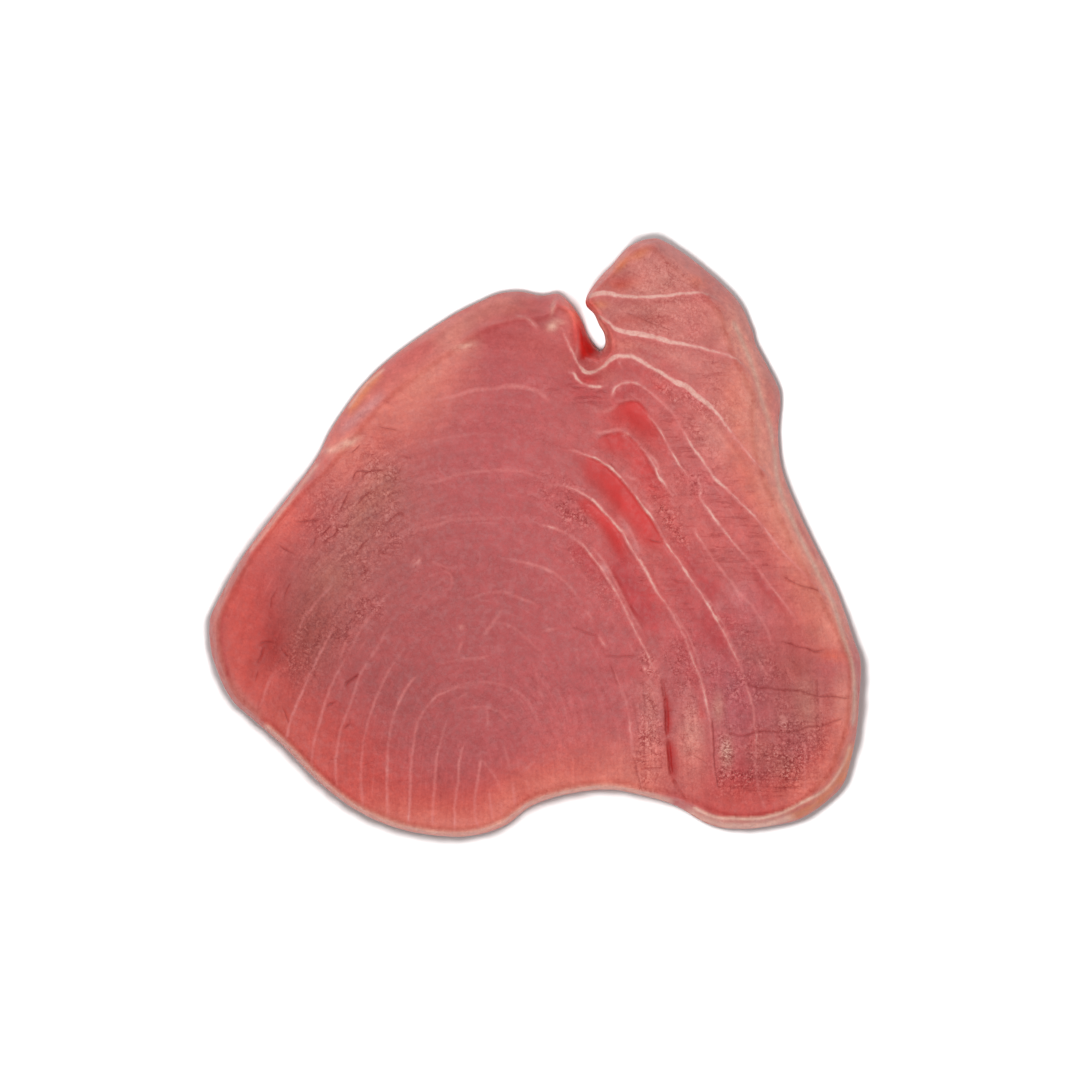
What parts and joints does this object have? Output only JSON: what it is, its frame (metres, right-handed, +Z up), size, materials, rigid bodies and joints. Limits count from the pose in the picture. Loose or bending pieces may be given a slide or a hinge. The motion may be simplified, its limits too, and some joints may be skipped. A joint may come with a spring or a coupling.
{
  "type": "raw tuna steak",
  "caption": "Raw tuna steak: a slice cut across the loin, with two lobes, a notch between them and arched muscle layers.",
  "frame": {"origin": "centre of the steak's box, at the plane of the cut face it lies on", "axes": "+Z up, out of the top cut face; +X along the longest side, towards the foot beside the hollow; +Y towards the notch"},
  "size_m": [0.15, 0.1376, 0.022],
  "materials": {
    "tuna_flesh": "moist raw fish flesh, soft sheen"
  },
  "bodies": {
    "root": {"tuna_steak": "tuna_flesh"}
  },
  "joints": []
}
